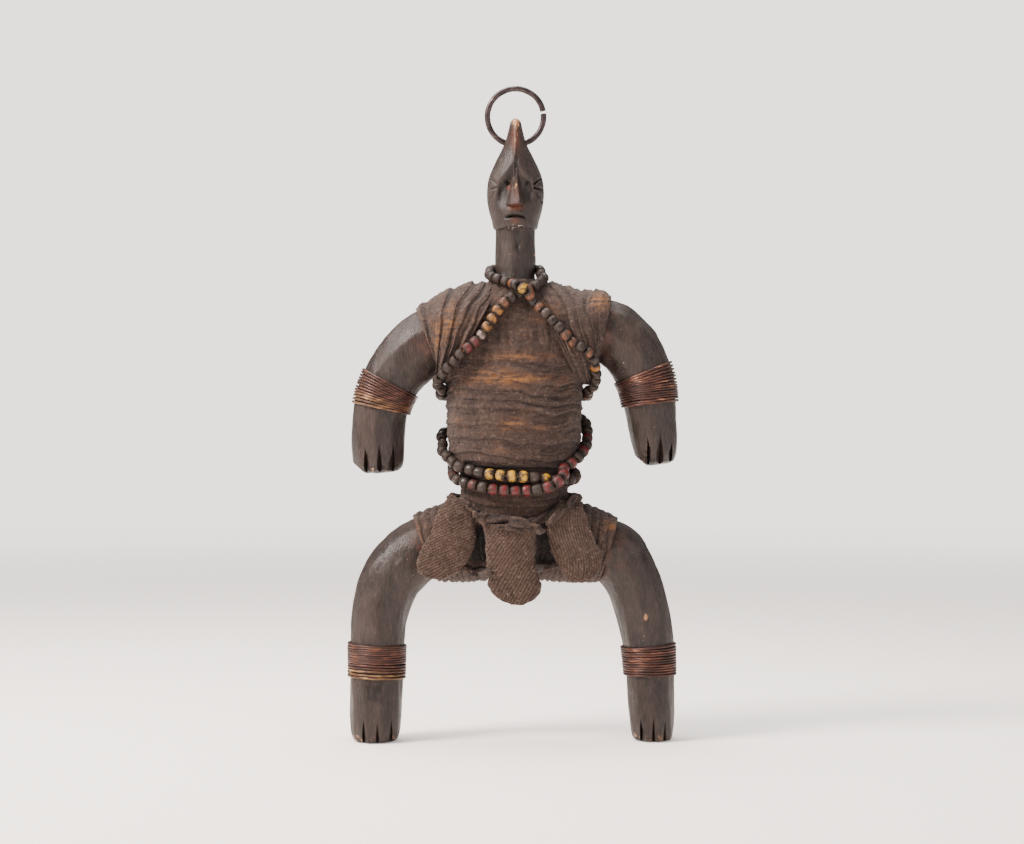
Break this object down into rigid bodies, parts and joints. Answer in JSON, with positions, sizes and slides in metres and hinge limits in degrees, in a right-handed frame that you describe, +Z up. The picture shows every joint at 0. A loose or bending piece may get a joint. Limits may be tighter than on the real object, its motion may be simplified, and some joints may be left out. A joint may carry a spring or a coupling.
{
  "type": "namji doll",
  "caption": "Standing carved wooden doll with bowed arms and legs, wrapped in cloth strips, with glass bead strings, wire-bound wrists and ankles, cloth flaps and a crest ring.",
  "frame": {"origin": "on the floor under the middle of the doll's box, at its soles' height", "axes": "+Z up through the crest, -Y the way the doll faces, +X towards the doll's left hand"},
  "size_m": [0.1608, 0.0644, 0.3164],
  "materials": {
    "carved_wood": "dark oiled and handled, tips worn to pale wood",
    "forged_iron": "forged, dark and rubbed",
    "cloth_strips": "old cotton strips, stiff with dust and oil",
    "ribbed_cloth": "ribbed cotton, dusty",
    "glass_beads": "opaque pressed glass, worn and grimy",
    "copper_wire": "copper wire, tarnished, rubbed bright on its ridges"
  },
  "bodies": {
    "root": {"carved_figure": "carved_wood", "crest_ring": "forged_iron", "torso_wrapping": "cloth_strips", "right_shoulder_wrapping": "cloth_strips", "left_shoulder_wrapping": "cloth_strips", "hip_wrapping": "cloth_strips", "rag_belt": "cloth_strips", "right_flap": "ribbed_cloth", "middle_flap": "ribbed_cloth", "left_flap": "ribbed_cloth", "chest_bead_string": "glass_beads", "upper_waist_bead_string": "glass_beads", "lower_waist_bead_string": "glass_beads", "right_wrist_wire": "copper_wire", "left_wrist_wire": "copper_wire", "right_ankle_wire": "copper_wire", "left_ankle_wire": "copper_wire"}
  },
  "joints": []
}
